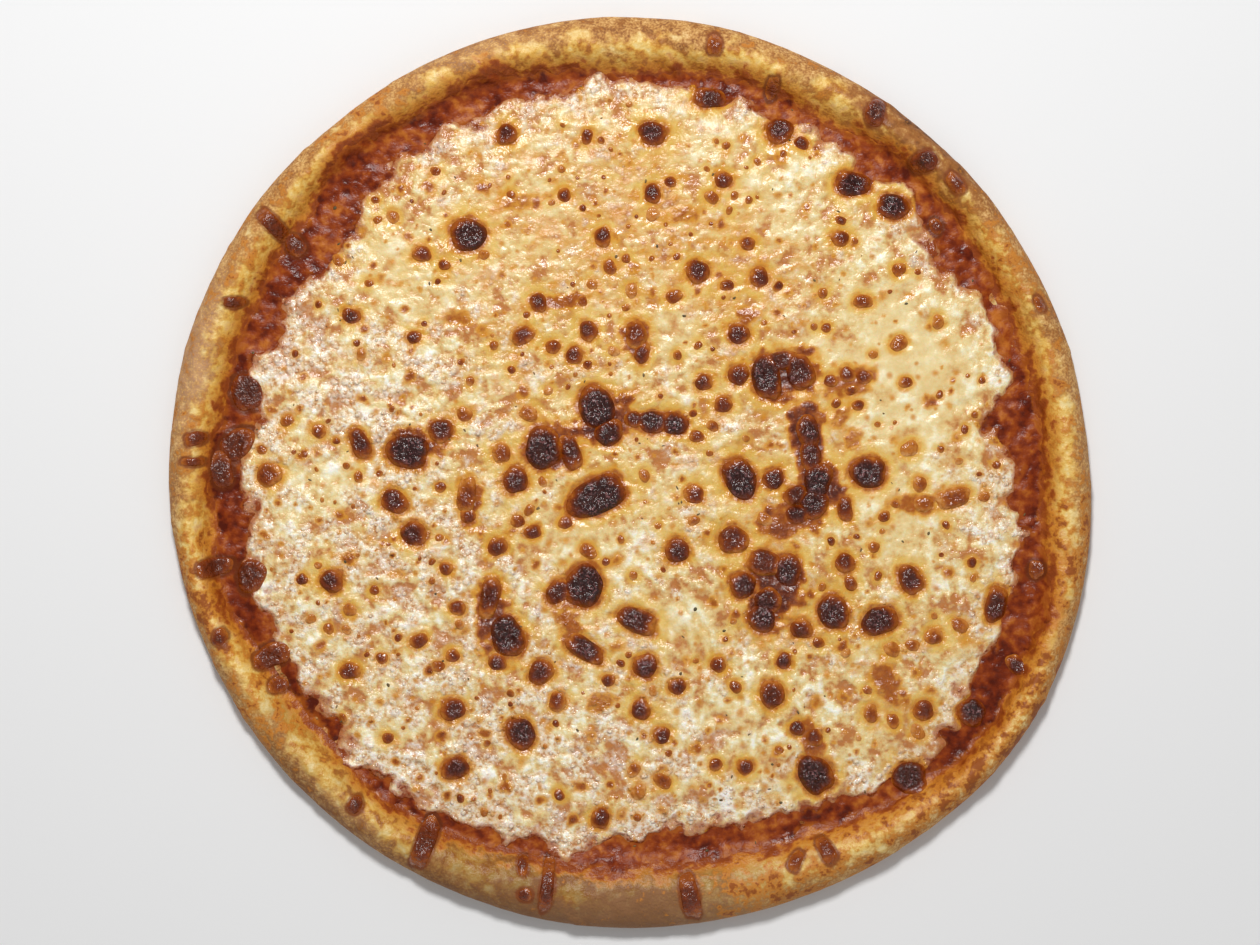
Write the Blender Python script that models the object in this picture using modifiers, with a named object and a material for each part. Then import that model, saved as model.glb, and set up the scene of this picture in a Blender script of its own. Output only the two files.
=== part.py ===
"""Margherita pizza, about 14 inches across: a baked crust with a raised rim, a layer of tomato sauce that shows
as a ring, and a layer of melted cheese with browned blisters. Metres, +Z up, origin at the middle of the underside.
Angles run anticlockwise from +X, seen from above."""

import math

import bpy
from mathutils import Vector, noise

MM = 0.001

# Radii, each the mean of an uneven outline
RIM_RADIUS = 178 * MM
SAUCE_RADIUS = 160 * MM
CHEESE_RADIUS = 149 * MM

# Heights and thicknesses
BASE_THICKNESS = 4.5 * MM
RIM_HEIGHT = 14 * MM
SAUCE_THICKNESS = 1.0 * MM
CHEESE_THICKNESS = 2.6 * MM
GAP = 0.3 * MM  # left between pieces that lie on each other
CHEESE_TOP = BASE_THICKNESS + SAUCE_THICKNESS + 2 * GAP + CHEESE_THICKNESS

# How uneven the outlines and the surfaces are
OUTLINE_LUMP = 0.8 * MM
RIM_LUMP = 1.3 * MM
CHEESE_LUMP = 0.5 * MM
CHEESE_LUMP_SIZE = 22 * MM

SEGMENTS = 90
BLISTER_SEGMENTS = 16
BLISTER_RINGS = 8
BLISTER_RISE = 0.24  # height of a blister as a share of its width
BLISTER_ROOT = 1.2 * MM  # how deep it reaches into the cheese

# Where the outlines reach out or stay back: (direction in degrees, reach, half width in degrees)
RIM_BULGES = [(-32, 6.5 * MM, 26), (172, 2.5 * MM, 40), (50, -2.5 * MM, 30)]
SAUCE_BULGES = [
    (-34, 11.5 * MM, 19),
    (62, -3 * MM, 11),
    (90, -5 * MM, 11),
    (135, 3 * MM, 13),
    (193, 6 * MM, 14),
    (272, -9.5 * MM, 25),
]
CHEESE_BULGES = [
    (-38, 8 * MM, 14),
    (40, -9 * MM, 12),
    (158, -5 * MM, 14),
    (225, 4 * MM, 9),
    (282, -9.5 * MM, 20),
]

# The largest browned blisters: (x, y, length, width, turn in degrees), in mm
BLISTERS = [
    (-63, 92, 15, 14, 0),
    (-12, 22, 22, 19, 110),
    (12, 19, 20, 10, 5),
    (-34, 9, 17, 15, 60),
    (-87, 8, 18, 15, 20),
    (-13, -9, 24, 15, 28),
    (43, -2, 17, 13, 110),
    (58, 36, 22, 17, 100),
    (71, 2, 26, 13, 95),
    (92, 0, 15, 14, 0),
    (60, -38, 14, 13, 0),
    (52, -54, 18, 13, 60),
    (79, -55, 15, 12, 100),
    (97, -58, 15, 11, 20),
    (-21, -45, 24, 14, 30),
    (-48, -65, 20, 14, 105),
    (-19, -69, 16, 9, 150),
    (72, -118, 17, 13, 125),
    (86, 112, 15, 10, 165),
    (101, 103, 14, 10, 150),
    (-43, -102, 14, 12, 120),
]


def bulges(angle, places):
    """Sum of smooth bulges at this angle, in metres."""
    total = 0.0
    for direction, reach, half_width in places:
        away = math.degrees(angle) - direction
        away = (away + 180) % 360 - 180
        total += reach * math.exp(-((away / half_width) ** 2))
    return total


def lump(angle, fineness, layer):
    """Smooth unevenness round the pizza, from about -1 to 1. Each layer has its own pattern."""
    return noise.noise(Vector((math.cos(angle), math.sin(angle), layer)) * fineness)


def rim_edge(angle):
    return RIM_RADIUS + bulges(angle, RIM_BULGES) + OUTLINE_LUMP * lump(angle, 4, 0)


def sauce_edge(angle):
    return SAUCE_RADIUS + bulges(angle, SAUCE_BULGES) + OUTLINE_LUMP * lump(angle, 5, 1)


def cheese_edge(angle):
    return CHEESE_RADIUS + bulges(angle, CHEESE_BULGES) + 3 * OUTLINE_LUMP * lump(angle, 6, 2)


def crust_profile():
    """From the middle of the upper side, over the rim, to the middle of the underside."""
    inner = SAUCE_RADIUS
    outer = RIM_RADIUS
    crest = (inner + outer) / 2 + 1 * MM
    return [
        (0, BASE_THICKNESS),
        (0.6 * inner, BASE_THICKNESS),
        (inner - 8 * MM, BASE_THICKNESS),
        (inner - 3 * MM, BASE_THICKNESS + 0.5 * MM),
        (inner + 0.5 * MM, BASE_THICKNESS + 2.2 * MM),
        (inner + 3.5 * MM, RIM_HEIGHT - 3.4 * MM),
        (crest - 3 * MM, RIM_HEIGHT - 0.8 * MM),
        (crest, RIM_HEIGHT),
        (crest + 3 * MM, RIM_HEIGHT - 0.9 * MM),
        (outer - 2.6 * MM, RIM_HEIGHT - 3.6 * MM),
        (outer - 0.6 * MM, RIM_HEIGHT - 6.6 * MM),
        (outer, 0.36 * RIM_HEIGHT),
        (outer - 0.8 * MM, 2.2 * MM),
        (outer - 3.2 * MM, 0.6 * MM),
        (outer - 6.5 * MM, 0),
        (0.55 * outer, 0),
        (0, 0),
    ]


def sauce_profile():
    """The sauce lies in the crust and climbs a little way up the inside of the rim."""
    low = BASE_THICKNESS + GAP
    high = low + SAUCE_THICKNESS
    edge = SAUCE_RADIUS
    return [
        (0, high),
        (0.6 * edge, high),
        (edge - 8 * MM, high),
        (edge - 3 * MM, high + 0.45 * MM),
        (edge + 0.2 * MM, high + 1.3 * MM),
        (edge + 0.2 * MM, high + 1.2 * MM),
        (edge - 3 * MM, low + 0.55 * MM),
        (edge - 8 * MM, low),
        (0, low),
    ]


def cheese_profile():
    """A layer of even thickness that thins out to a rounded edge."""
    low = CHEESE_TOP - CHEESE_THICKNESS
    high = CHEESE_TOP
    edge = CHEESE_RADIUS
    rings = [(share * edge, high) for share in (0, 0.15, 0.3, 0.45, 0.6, 0.75, 0.88)]
    return rings + [
        (edge - 4 * MM, high - 0.3 * MM),
        (edge - 1 * MM, high - 1.1 * MM),
        (edge, low + 0.5 * MM),
        (edge - 1 * MM, low),
        (0.6 * edge, low),
        (0, low),
    ]


def move_to(obj, collection):
    for old in obj.users_collection:
        old.objects.unlink(obj)
    collection.objects.link(obj)


def turned(name, profile):
    """A closed turned body, as an applied mesh, from a profile that runs from the axis round to the axis."""
    mesh = bpy.data.meshes.new(name)
    mesh.from_pydata([(r, 0, z) for r, z in profile], [(i, i + 1) for i in range(len(profile) - 1)], [])
    obj = bpy.data.objects.new(name, mesh)
    bpy.context.scene.collection.objects.link(obj)
    screw = obj.modifiers.new("Turn", "SCREW")
    screw.axis = "Z"
    screw.angle = math.tau
    screw.steps = SEGMENTS
    screw.render_steps = SEGMENTS
    screw.use_merge_vertices = True
    screw.merge_threshold = 0.00001
    graph = bpy.context.evaluated_depsgraph_get()
    solid = bpy.data.meshes.new_from_object(obj.evaluated_get(graph))
    obj.modifiers.clear()
    obj.data = solid
    bpy.data.meshes.remove(mesh)
    solid.name = name
    return obj


def reshape(obj, move):
    """Moves every vertex to move(radius, angle, height), which gives back a radius and a height."""
    for vertex in obj.data.vertices:
        x, y, z = vertex.co
        radius = math.hypot(x, y)
        angle = math.atan2(y, x)
        radius, z = move(radius, angle, z)
        vertex.co = (radius * math.cos(angle), radius * math.sin(angle), z)
    obj.data.update()


def crust_radius(radius, angle):
    """Takes a radius on the even profile to the uneven outline: the floor grows with the sauce, the rim with the edge."""
    inner = sauce_edge(angle)
    if radius <= SAUCE_RADIUS:
        return radius * inner / SAUCE_RADIUS
    share = (radius - SAUCE_RADIUS) / (RIM_RADIUS - SAUCE_RADIUS)
    return inner + share * (rim_edge(angle) - inner)


def crust_move(radius, angle, height):
    """The rim's top rises and falls; the floor and the underside stay flat."""
    floor = BASE_THICKNESS + 2.5 * MM
    rise = max(0.0, height - floor) / (RIM_HEIGHT - floor)
    height += RIM_LUMP * rise * (lump(angle, 3.5, 3) + 0.6 * lump(angle, 9, 4))
    return crust_radius(radius, angle), height


def sauce_move(radius, angle, height):
    return crust_radius(radius, angle), height


def blister(collection, x, y, length, width, turn):
    """A dome, rooted in the cheese: round above its widest ring and shallow below it."""
    bpy.ops.mesh.primitive_uv_sphere_add(segments=BLISTER_SEGMENTS, ring_count=BLISTER_RINGS, radius=1)
    obj = bpy.context.object
    obj.name = "blister"
    for vertex in obj.data.vertices:
        vertex.co.z *= BLISTER_RISE * width * MM if vertex.co.z > 0 else BLISTER_ROOT
    obj.scale = (length / 2 * MM, width / 2 * MM, 1)
    obj.rotation_euler.z = math.radians(turn)
    obj.location = (x * MM, y * MM, CHEESE_TOP - GAP)
    obj.hide_render = True
    obj.display_type = "WIRE"
    move_to(obj, collection)


def raise_blisters(obj, collection):
    """Joins the domes in the collection to the cheese."""
    for place in BLISTERS:
        blister(collection, *place)
    union = obj.modifiers.new("Blisters", "BOOLEAN")
    union.operation = "UNION"
    union.operand_type = "COLLECTION"
    union.collection = collection
    union.solver = "EXACT"


def cheese_move(radius, angle, height):
    """The outline wanders, and the top has low lumps."""
    radius *= cheese_edge(angle) / CHEESE_RADIUS
    if height > CHEESE_TOP - CHEESE_THICKNESS / 2:
        place = Vector((radius * math.cos(angle), radius * math.sin(angle), 0))
        height += CHEESE_LUMP * noise.noise(place / CHEESE_LUMP_SIZE)
    return radius, height


def material(name, colour, roughness):
    made = bpy.data.materials.new(name)
    made.use_nodes = True
    shader = made.node_tree.nodes["Principled BSDF"]
    shader.inputs["Base Color"].default_value = (*colour, 1)
    shader.inputs["Roughness"].default_value = roughness
    shader.inputs["Metallic"].default_value = 0
    return made


def finish(obj, collection, look):
    """Puts the object in the pizza's collection, with its material and smooth shading."""
    move_to(obj, collection)
    obj.data.materials.clear()
    obj.data.materials.append(look)
    obj.data.shade_smooth()


def crust():
    obj = turned("crust", crust_profile())
    reshape(obj, crust_move)
    return obj


def sauce():
    obj = turned("sauce", sauce_profile())
    reshape(obj, sauce_move)
    return obj


def cheese(domes):
    obj = turned("cheese", cheese_profile())
    reshape(obj, cheese_move)
    raise_blisters(obj, domes)
    return obj


def main():
    for obj in list(bpy.data.objects):
        bpy.data.objects.remove(obj)
    collection = bpy.data.collections.new("margherita_pizza")
    bpy.context.scene.collection.children.link(collection)
    domes = bpy.data.collections.new("blister_domes")
    bpy.context.scene.collection.children.link(domes)
    finish(crust(), collection, material("baked_crust", (0.46, 0.22, 0.06), 0.75))
    finish(sauce(), collection, material("tomato_sauce", (0.22, 0.04, 0.012), 0.35))
    finish(cheese(domes), collection, material("melted_cheese", (0.72, 0.47, 0.2), 0.35))


main()
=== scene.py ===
"""Margherita pizza, seen from straight above: its crust, sauce, melted cheese, browned blisters and herbs.

+X is to the right in that view, +Y is away and +Z is up. Sizes and places here are in millimetres, apart from
those of the lamps and the camera, and meshes are turned into metres as they are made. Angles in the lists are
in degrees, anticlockwise from +X, seen from above.
"""

import math
from collections import namedtuple
from functools import reduce

import bpy
import numpy as np
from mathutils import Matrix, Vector
from mathutils.bvhtree import BVHTree


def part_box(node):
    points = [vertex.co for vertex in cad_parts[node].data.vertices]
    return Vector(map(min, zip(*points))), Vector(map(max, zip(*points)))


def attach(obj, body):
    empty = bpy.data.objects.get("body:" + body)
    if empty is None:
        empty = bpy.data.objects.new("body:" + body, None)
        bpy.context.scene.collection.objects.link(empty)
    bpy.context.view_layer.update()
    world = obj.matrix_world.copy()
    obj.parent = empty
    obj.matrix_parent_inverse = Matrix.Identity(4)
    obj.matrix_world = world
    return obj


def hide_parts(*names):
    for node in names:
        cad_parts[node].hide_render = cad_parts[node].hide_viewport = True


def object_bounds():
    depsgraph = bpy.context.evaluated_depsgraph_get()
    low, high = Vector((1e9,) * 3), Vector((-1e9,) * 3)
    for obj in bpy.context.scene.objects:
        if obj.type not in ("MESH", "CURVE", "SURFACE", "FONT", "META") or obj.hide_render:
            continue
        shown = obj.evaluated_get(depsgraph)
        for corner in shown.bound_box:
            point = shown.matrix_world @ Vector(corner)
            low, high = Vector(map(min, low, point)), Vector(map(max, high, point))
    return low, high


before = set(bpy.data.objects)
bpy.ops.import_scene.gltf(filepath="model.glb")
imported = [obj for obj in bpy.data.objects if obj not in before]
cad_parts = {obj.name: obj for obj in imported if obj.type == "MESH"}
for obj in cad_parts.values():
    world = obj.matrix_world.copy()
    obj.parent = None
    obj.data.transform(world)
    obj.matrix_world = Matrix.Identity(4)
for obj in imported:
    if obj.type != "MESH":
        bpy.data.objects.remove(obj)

CAD_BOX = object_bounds()
MM = 0.001

# ---------------------------------------------------------------- sizes

SPOKES = 90  # the frame's outlines have a point at every fourth degree
FLOOR_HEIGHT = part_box("sauce")[0].z / MM  # upper side of the crust's floor
# Where each piece's hidden side lies, so that the pieces overlap a little
CRUST_FLOOR = FLOOR_HEIGHT - 0.3
SAUCE_FLOOR = FLOOR_HEIGHT - 0.1
CHEESE_FLOOR = FLOOR_HEIGHT + 0.2

CRUST_SEGMENTS = 1150
CRUST_STEP = 0.75
RIM_WIDTH = 18.0  # of the section below, from the edge of the sauce to the edge of the pizza
RIM_CREST = 13.9
# The rim's section: (distance out from the edge of the sauce, height)
RIM_SECTION = [
    (-4, 4.9), (-2, 5.3), (0.5, 6.7), (3.0, 9.6), (6.2, 12.7), (9.6, RIM_CREST), (13.0, 13.0), (15.8, 10.4),
    (17.5, 7.3), (RIM_WIDTH, 4.8), (17.4, 2.5), (15.8, 0.9), (13.0, 0.1), (11.5, 0),
]
INNER_RINGS = [0.3, 0.6, 0.85, 0.95]  # of the floor and the underside, as shares of the radius of the sauce

SAUCE_SEGMENTS = 1100
SAUCE_STEP = 0.85
SAUCE_INSIDE = 24  # how far the fine rings of the sauce reach in under the cheese
SAUCE_OUTSIDE = 7  # and out, up the inside of the rim
SAUCE_DEPTH = 0.9
SAUCE_UNDER = 1.3  # how far its underside lies below its top
SAUCE_UNDER_STEP = 5  # rings of the top to one of the underside

CHEESE_CELL = 0.93
CHEESE_GRID = 168  # half the width of its grid
CHEESE_DEPTH = 1.9
CHEESE_OUTSIDE = 11  # how far the grid goes on, below the sauce
SHRED_COUNT = 4600

CAMERA_HEIGHT = 1.3  # in metres
CAMERA_MARGIN = 1.03  # height of the picture, as a share of the pizza's
FRAME_ASPECT = 1260 / 945
WORLD_STRENGTH = 0.26

# Brown zones on the rim: (direction, strength, half width)
BAKED = [
    (48, 1.0, 17), (24, 0.7, 9), (98, 0.35, 16), (75, 0.3, 10), (182, 0.3, 16), (228, 0.4, 12),
    (-42, 0.5, 20),
]
FLOURY = [(268, 1.0, 20), (165, 0.7, 14), (110, 0.45, 12), (232, 0.4, 12), (5, 0.3, 12)]
# Painted shade on the near side of the rim, which faces away from the key lamp: (direction, strength, half
# width)
SHADED_RIM_ZONES = [(262, 1.0, 34), (222, 0.5, 20)]
# Where sauce and browned fat have run over the rim
SMEARED = [
    (322, 1.0, 24), (350, 0.8, 12), (8, 0.5, 12), (28, 0.6, 10), (128, 0.6, 9), (150, 0.45, 14),
    (176, 0.5, 10), (196, 0.85, 12), (212, 0.7, 8), (288, 0.7, 12), (300, 0.7, 12), (70, 0.3, 10),
]

# Where an edge reaches out or stays back, beside what the frame has: (direction, reach, half width)
CHEESE_REACH = [(8, -9, 4.5), (36, 5, 8), (141, -7, 6), (163, 4, 6), (312, 4, 12), (345, 4, 8), (232, 2, 8)]
SAUCE_REACH = [(112, 4, 10), (216, -4, 10), (270, 4, 12), (345, 5, 8), (22, -2, 8), (128, 3, 6)]

# Zones of the cheese: (x, y, reach, strength)
WARM = [
    (0, 92, 52, 0.6), (60, 88, 38, 0.45), (-60, 100, 45, 0.4), (70, 25, 32, 0.55), (60, -40, 30, 0.4),
    (-30, 20, 40, 0.25), (105, -95, 35, 0.3), (-35, -60, 30, 0.25),
]
FROTHY = [
    (-95, -20, 45, 0.35), (-60, -105, 45, 0.4), (20, -110, 45, 0.3), (-110, 40, 35, 0.35),
    (130, -5, 22, 0.4), (0, -35, 40, 0.15), (115, 60, 18, 0.3),
]
SMOOTH = [
    (108, 42, 34, 0.7), (50, 112, 26, 0.3), (-92, 82, 24, 0.4), (104, -22, 22, 0.4), (-18, -24, 20, 0.35),
    (25, -55, 20, 0.4), (45, -100, 22, 0.35), (-110, 0, 16, 0.3), (-40, 100, 20, 0.3), (20, 62, 16, 0.3),
]

# Where the shreds have kept their shape
STRANDED = [
    (62, -76, 34, 0.6), (110, -52, 24, 0.5), (-100, -60, 30, 0.4), (20, -40, 18, 0.3), (-70, 30, 24, 0.3),
]

# ---------------------------------------------------------------- browned spots

# A browned spot: its place, its size along and across, its turn and how dark it is, from 0 to 1
Spot = namedtuple("Spot", "x y length width turn dark")

BLISTERS = [Spot(*row) for row in [
    # the far side
    (-48.5, 131.5, 9, 9, 0, 0.75), (8.5, 132, 11.5, 10, 0, 0.85), (30.5, 146, 13.5, 8.5, 0, 0.85),
    (58, 133, 11.5, 11, 0, 0.8), (86.5, 112.5, 15, 9.5, -5, 1), (102.5, 103.5, 13.5, 10, -15, 1),
    (36, 114, 7.5, 7.5, 0, 0.65), (8.5, 108.5, 8.5, 7, 90, 0.75), (-26, 108, 6, 6, 0, 0.6),
    (-63.5, 92.5, 14.5, 14, 0, 0.95), (-11, 91.5, 8.5, 7, 100, 0.7), (81.5, 91, 7.5, 7, 0, 0.6),
    (45.5, 89, 6.5, 6, 0, 0.55), (-81.5, 85, 8, 7, 0, 0.55), (26, 78, 10, 10, 0, 0.8),
    (50, 76, 9, 7.5, 100, 0.7), (104.5, 79, 6.5, 5.5, 30, 0.45), (90.5, 66.5, 8, 6, 0, 0.5),
    (-36, 66, 8.5, 7, 100, 0.75), (-42, 53, 10, 7, 35, 0.6), (-16.5, 55, 9, 7.5, 110, 0.7),
    (42, 54, 9, 9, 0, 0.8), (2, 53.5, 11.5, 9, 100, 0.6), (4.5, 46.5, 9, 6.5, 70, 0.65),
    (-22, 45.5, 7.5, 7.5, 0, 0.7),
    # the band across the middle
    (28.5, 35, 7.5, 7, 0, 0.7), (36, 26.5, 8, 7, 0, 0.6), (42, 38, 9, 9, 0, 0.75),
    (84.5, 38, 7, 6.5, 0, 0.6), (53, 37, 19, 11.5, 95, 0.95), (66, 39, 15.5, 11, 110, 0.8),
    (58, 43, 16, 8, 10, 0.75), (78, 35.5, 6, 5.5, 0, 0.55), (91, 37, 7, 6, 0, 0.6),
    (86, 32, 5.5, 4.5, 20, 0.5), (80, 27, 5, 4, 60, 0.45), (88.5, 26, 5.5, 4.5, 0, 0.5),
    (107, 35, 6, 5, 0, 0.45), (-13.5, 25.5, 17, 15, 110, 1), (-8.5, 15.5, 12, 11, 30, 0.95),
    (1, 20.5, 8, 7, 0, 0.75), (8.5, 19.5, 12, 9.5, 0, 1), (17, 19, 12, 9, -10, 1),
    (-34, 9.5, 17.5, 15, 100, 0.95), (-23.5, 7.5, 15, 8, 105, 0.8), (-50.5, 7.5, 9, 7.5, 100, 0.45),
    (-74, 16, 10.5, 10, 60, 0.8), (-87, 8, 18, 13.5, -10, 1), (-105.5, 11, 13, 8, 115, 0.8),
    (-121.5, 16, 6.5, 6, 0, 0.45), (-13.5, -9.5, 24, 15, 25, 1), (-45, -3, 11.5, 10, 100, 0.85),
    (-64, -9, 15, 7.5, 85, 0.5), (-63.5, -17, 7, 6, 0, 0.55), (-92, -11.5, 12, 9, -30, 0.8),
    (-84.5, -24, 11, 10, 130, 0.8), (24.5, -8.5, 9, 8, 0, 0.6), (42.5, -2.5, 17, 13, 120, 1),
    (55.5, -2.5, 9.5, 8.5, 20, 0.85), (69, 16, 13, 9.5, 100, 0.9), (70, 6, 12, 9, 90, 0.85),
    (73, -3, 15, 11, 80, 1), (71.5, -12.5, 13, 11, 60, 0.95), (64, -9, 10, 8, 30, 0.8),
    (65, -16.5, 10, 8, 20, 0.9), (83.5, -14.5, 11, 6, 95, 0.7), (92.5, 0, 14.5, 13.5, 0, 0.95),
    (125.5, -10, 15, 8, 15, 0.4), (114, -12.5, 8, 7, 0, 0.35), (-141, -1, 11, 10, 0, 0.5),
    # the near side
    (40, -26.5, 12.5, 12, 0, 0.65), (61, -38, 13, 11.5, 100, 0.95), (52, -35.5, 14, 11, 170, 0.7),
    (43.5, -44, 11.5, 10.5, 90, 0.9), (53.5, -50, 11, 11, 60, 0.85), (51, -57, 12, 11.5, 60, 0.95),
    (79, -54.5, 15, 12, 105, 0.9), (97, -58, 15, 11.5, 15, 0.9), (66.5, -61, 9.5, 8.5, 0, 0.7),
    (109, -42, 13, 9, 120, 0.8), (83.5, -35.5, 9, 8, 130, 0.65), (118, -64, 8, 7, 0, 0.4),
    (18, -30.5, 10.5, 10, 0, 0.85), (-18.5, -44.5, 18, 15, 60, 1), (-28, -46.5, 12, 9, 25, 0.8),
    (2.5, -58, 17, 9.5, -20, 0.85), (-18, -69, 17, 8.5, -30, 0.85), (-55, -49, 17, 8, 80, 0.7),
    (-48, -64, 17, 13.5, 105, 0.95), (-52, -74, 8, 7, 0, 0.75), (-35, -78, 11.5, 9.5, 60, 0.75),
    (-52, -29, 8.5, 7.5, 10, 0.65), (-116.5, -42.5, 10, 9.5, 0, 0.8), (-72, -37.5, 6, 6, 0, 0.55),
    (-67.5, -53, 7, 6.5, 0, 0.55), (-69.5, -71.5, 6, 6, 0, 0.55), (-97, -72.5, 5.5, 5, 0, 0.5),
    (-109.5, -77.5, 9, 7, 10, 0.6), (5.5, -75.5, 10.5, 10, 0, 0.85), (34, -75, 7, 6.5, 0, 0.6),
    (18, -83.5, 7.5, 7, 0, 0.7), (4, -92.5, 9, 8, 90, 0.75), (12, -102.5, 7.5, 7, 0, 0.75),
    (-28.5, -89.5, 9, 7, 80, 0.5), (55, -86.5, 12, 10, 100, 0.7), (71.5, -103.5, 7.5, 7, 0, 0.6),
    (93.5, -94, 8, 6, 90, 0.4), (114, -93, 9, 8.5, 0, 0.65), (133, -94, 12, 11, 140, 0.95),
    (150, -75, 9, 7, 120, 0.8), (142.5, -51.5, 15, 9, 80, 0.8), (72, -118, 17, 13, 120, 0.95),
    (109, -119.5, 15, 13, 0, 0.9), (44.5, -115, 7, 6.5, 0, 0.7), (33, -114, 6, 5.5, 0, 0.5),
    (-69.5, -92.5, 10.5, 9.5, 20, 0.75), (-43, -102, 13.5, 11.5, 110, 0.9),
    (-68.5, -115.5, 11.5, 9.5, 15, 0.85), (-12, -135, 9.5, 7.5, 80, 0.7),
]]

# Skin that browned between blisters without rising
SCORCHED = [Spot(*row) for row in [
    (60, 38, 30, 22, 0, 1), (69, 14, 34, 14, 98, 1), (72, -5, 24, 20, 0, 1), (85, 35, 24, 13, 15, 0.62),
    (56, -46, 32, 24, 100, 0.95), (-54, -56, 32, 15, 95, 0.9), (-10, 20, 30, 19, 30, 1),
    (-30, 10, 24, 20, 20, 0.95), (-62, -12, 24, 8, 80, 0.75), (-24, -58, 24, 12, 100, 0.6),
    (2, 52, 16, 12, 80, 0.85), (-26, 66, 22, 7, 5, 0.7), (62, -18, 30, 18, 20, 0.75),
    (45, 60, 12, 9, 100, 0.6), (82, 22, 15, 9, 60, 0.5), (86, 12, 12, 7, 60, 0.5),
    (-84, 10, 22, 16, 0, 0.85), (110, -12, 22, 9, 0, 0.6), (-12, -90, 12, 9, 0, 0.55),
    (70, -104, 18, 12, 120, 0.7), (-68, 60, 16, 8, 0, 0.5), (20, 100, 18, 8, 10, 0.5),
    (-45, 105, 20, 9, 10, 0.5), (100, -82, 24, 12, 120, 0.65),
]]

# Cheese that ran over the sauce and the rim and burnt there
DRIPS = [Spot(*row) for row in [
    (-150, 31, 15, 13, 100, 1), (-153.5, 11, 15, 12, 45, 0.9), (-159.5, 1, 15, 9, 95, 0.95),
    (-169, 13, 9, 6, 20, 0.8), (-170, 4, 10, 3.5, 0, 0.7), (-162, -37, 14, 8, 10, 0.9),
    (-148, -40.5, 14, 12, 80, 0.9), (-159.5, -64, 8, 6, 60, 0.8), (-140, -71.5, 15, 10, 20, 0.8),
    (-137.5, -83, 8, 7, 0, 0.7), (-139, 96, 16, 6.5, -45, 0.85), (-131, 88.5, 10, 8, -45, 0.9),
    (-154, 66, 9, 4.5, 0, 0.8), (-107, -129, 8, 5.5, 60, 0.85), (-80, -144, 21, 8, 68, 0.85),
    (-32.5, -160.5, 22, 5.5, 85, 0.85), (-42, -153, 8, 4.5, 85, 0.75), (-41, -164, 6, 5.5, 0, 0.8),
    (23, -164.5, 19, 7.5, 100, 0.8), (95, 139.5, 12, 8, 70, 1), (114, 120.5, 11, 9, 20, 1),
    (32.5, 166, 9, 6, 85, 0.6), (55, 149.5, 9, 5, 80, 0.65), (158.5, 65, 7, 4, 120, 0.65),
    (76, -147, 12, 6, 120, 0.75), (64, -151, 9, 5, 60, 0.6), (126, 112, 10, 6, 130, 0.7),
    (119, 96, 7, 5.5, 110, 0.75), (158, -38, 8, 6, 100, 0.7),
]]

RING_WIDTH = 3.8  # of the lighter edge of a browned spot
SPOT_REACH = 150  # half the width of the square in which small spots are drawn
SMALL_COUNT = 140
SMALL_SIZE = (3.2, 6.4)
FRECKLE_COUNT = 110
FRECKLE_SIZE = (1.9, 3.2)
SMUDGE_COUNT = 420
SMUDGE_SIZE = (1.8, 6.5)
FLAKE_COUNT = 120
FLAKE_SIZE = (0.8, 1.8)
FLAKE_REACH = 156  # how far from the middle the herbs lie at most
FLAKE_SIDES = 8


# ---------------------------------------------------------------- unevenness

NOISE_CELLS = 128
NOISE_TURNS = np.random.default_rng(5).uniform(0, math.tau, (NOISE_CELLS, NOISE_CELLS))


def noise(x, y, size, layer):
    """Smooth unevenness over the plane, from about -1 to 1, in lumps of this size. Each layer has its own
    pattern.
    """
    u = x / size + 7.3 * layer
    v = y / size - 3.9 * layer
    column, row = np.floor(u).astype(int), np.floor(v).astype(int)
    u, v = u - column, v - row

    def slope(i, j):
        turn = NOISE_TURNS[(column + i) % NOISE_CELLS, (row + j) % NOISE_CELLS]
        return np.cos(turn) * (u - i) + np.sin(turn) * (v - j)

    fade_u, fade_v = (t**3 * (t * (t * 6 - 15) + 10) for t in (u, v))
    near = slope(0, 0) * (1 - fade_u) + slope(1, 0) * fade_u
    far = slope(0, 1) * (1 - fade_u) + slope(1, 1) * fade_u
    return 1.5 * (near * (1 - fade_v) + far * fade_v)


def ridges(x, y, size, layer):
    """Sharp-topped ridges, from 0 to 1."""
    return 1 - np.abs(noise(x, y, size, layer))


def step(low, high, value):
    """Rises smoothly from 0 at low to 1 at high, or falls if low is above high."""
    share = np.clip((value - low) / (high - low), 0, 1)
    return share * share * (3 - 2 * share)


def hump(value, width):
    return np.exp(-((value / width) ** 2))


def toward(degrees, places):
    """How strongly a direction, in degrees, lies in the listed zones, from 0 to 1."""
    total = np.zeros_like(degrees)
    for direction, strength, half_width in places:
        away = (degrees - direction + 180) % 360 - 180
        total = np.maximum(total, strength * hump(away, half_width))
    return total


def reach_toward(degrees, places):
    """How much further an edge reaches in a direction, in millimetres."""
    return sum(reach * hump((degrees - direction + 180) % 360 - 180, half_width)
               for direction, reach, half_width in places)


def within_zones(x, y, zones):
    """How strongly each place lies in the listed zones."""
    return sum(strength * hump(np.hypot(x - middle_x, y - middle_y), reach)
               for middle_x, middle_y, reach, strength in zones)


# ---------------------------------------------------------------- the frame's shape


def around(node, measure):
    """The highest value of measure(points) in each direction round a node, as a smooth function of the angle
    in radians.
    """
    points = np.array([vertex.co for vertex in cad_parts[node].data.vertices]) / MM
    spoke = np.round(np.arctan2(points[:, 1], points[:, 0]) / math.tau * SPOKES).astype(int) % SPOKES
    highest = np.zeros(SPOKES)
    np.maximum.at(highest, spoke, measure(points))
    # More points by way of the spectrum, which rounds the corners between the spokes
    fine = np.fft.irfft(np.fft.rfft(highest), 12 * SPOKES) * 12
    fine = np.append(fine, fine[0])
    turns = np.linspace(0, math.tau, len(fine))
    return lambda angle: np.interp(np.mod(angle, math.tau), turns, fine)


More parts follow.
